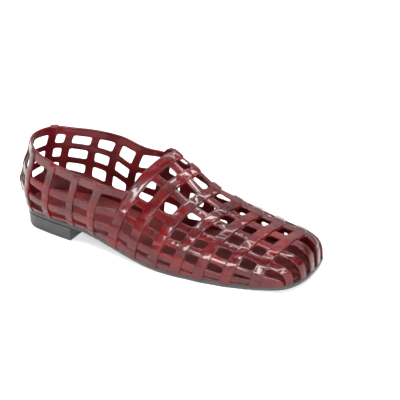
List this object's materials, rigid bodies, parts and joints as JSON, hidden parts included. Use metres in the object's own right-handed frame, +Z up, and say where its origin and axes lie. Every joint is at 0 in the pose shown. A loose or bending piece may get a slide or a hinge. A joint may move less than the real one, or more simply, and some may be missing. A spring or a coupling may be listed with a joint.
{
  "type": "caged leather sandal",
  "caption": "Flat slip-on leather sandal with a cage upper of crossed glossy straps, a square toe, a thin sole and a low block heel.",
  "frame": {"origin": "on the heel's rest face, on the floor, under the shoe's long axis", "axes": "+X towards the toe, -Y towards the lateral side of a right foot, +Z up"},
  "size_m": [0.2668, 0.0826, 0.0856],
  "materials": {
    "strap_leather": "glossy crinkled burgundy leather",
    "lining_leather": "smooth matt brown-red lining leather",
    "sole_rubber": "satin black",
    "heel_rubber": "satin black"
  },
  "bodies": {
    "root": {"upper": "strap_leather", "insole": "lining_leather", "outsole": "sole_rubber", "heel": "heel_rubber"}
  },
  "joints": []
}
